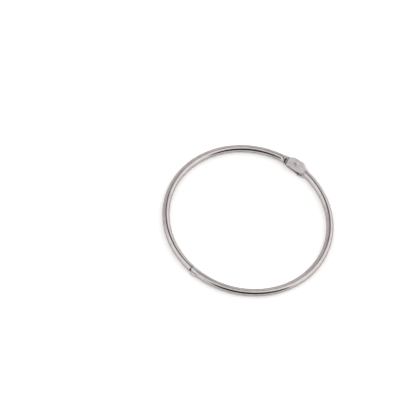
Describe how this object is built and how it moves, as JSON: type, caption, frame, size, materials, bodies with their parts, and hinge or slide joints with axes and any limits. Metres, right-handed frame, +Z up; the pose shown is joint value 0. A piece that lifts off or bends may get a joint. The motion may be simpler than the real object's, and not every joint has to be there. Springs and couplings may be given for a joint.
{
  "type": "binder ring",
  "caption": "Hinged round-wire binder ring: two halves pivot on a rivet through flat lugs and close with a lapped snap end.",
  "frame": {"origin": "centre of the closed ring, on the surface that the ring lies on", "axes": "+Z up, square to the plane of the ring and along the rivet; +Y from the centre towards the rivet; +X towards the half that turns"},
  "size_m": [0.0816, 0.0834, 0.0036],
  "materials": {
    "plated_wire": "bright nickel plate",
    "plated_rivet": "nickel plate, staked"
  },
  "bodies": {
    "left_half": {"left_half_ring": "plated_wire", "hinge_rivet": "plated_rivet"},
    "right_half": {"right_half_ring": "plated_wire"}
  },
  "joints": [
    {"name": "ring_hinge", "type": "hinge", "parent": "left_half", "child": "right_half", "pos_m": [0, 0.03915, 0.00165], "axis": [0, 0, 1], "range_deg": [0, 125]}
  ]
}
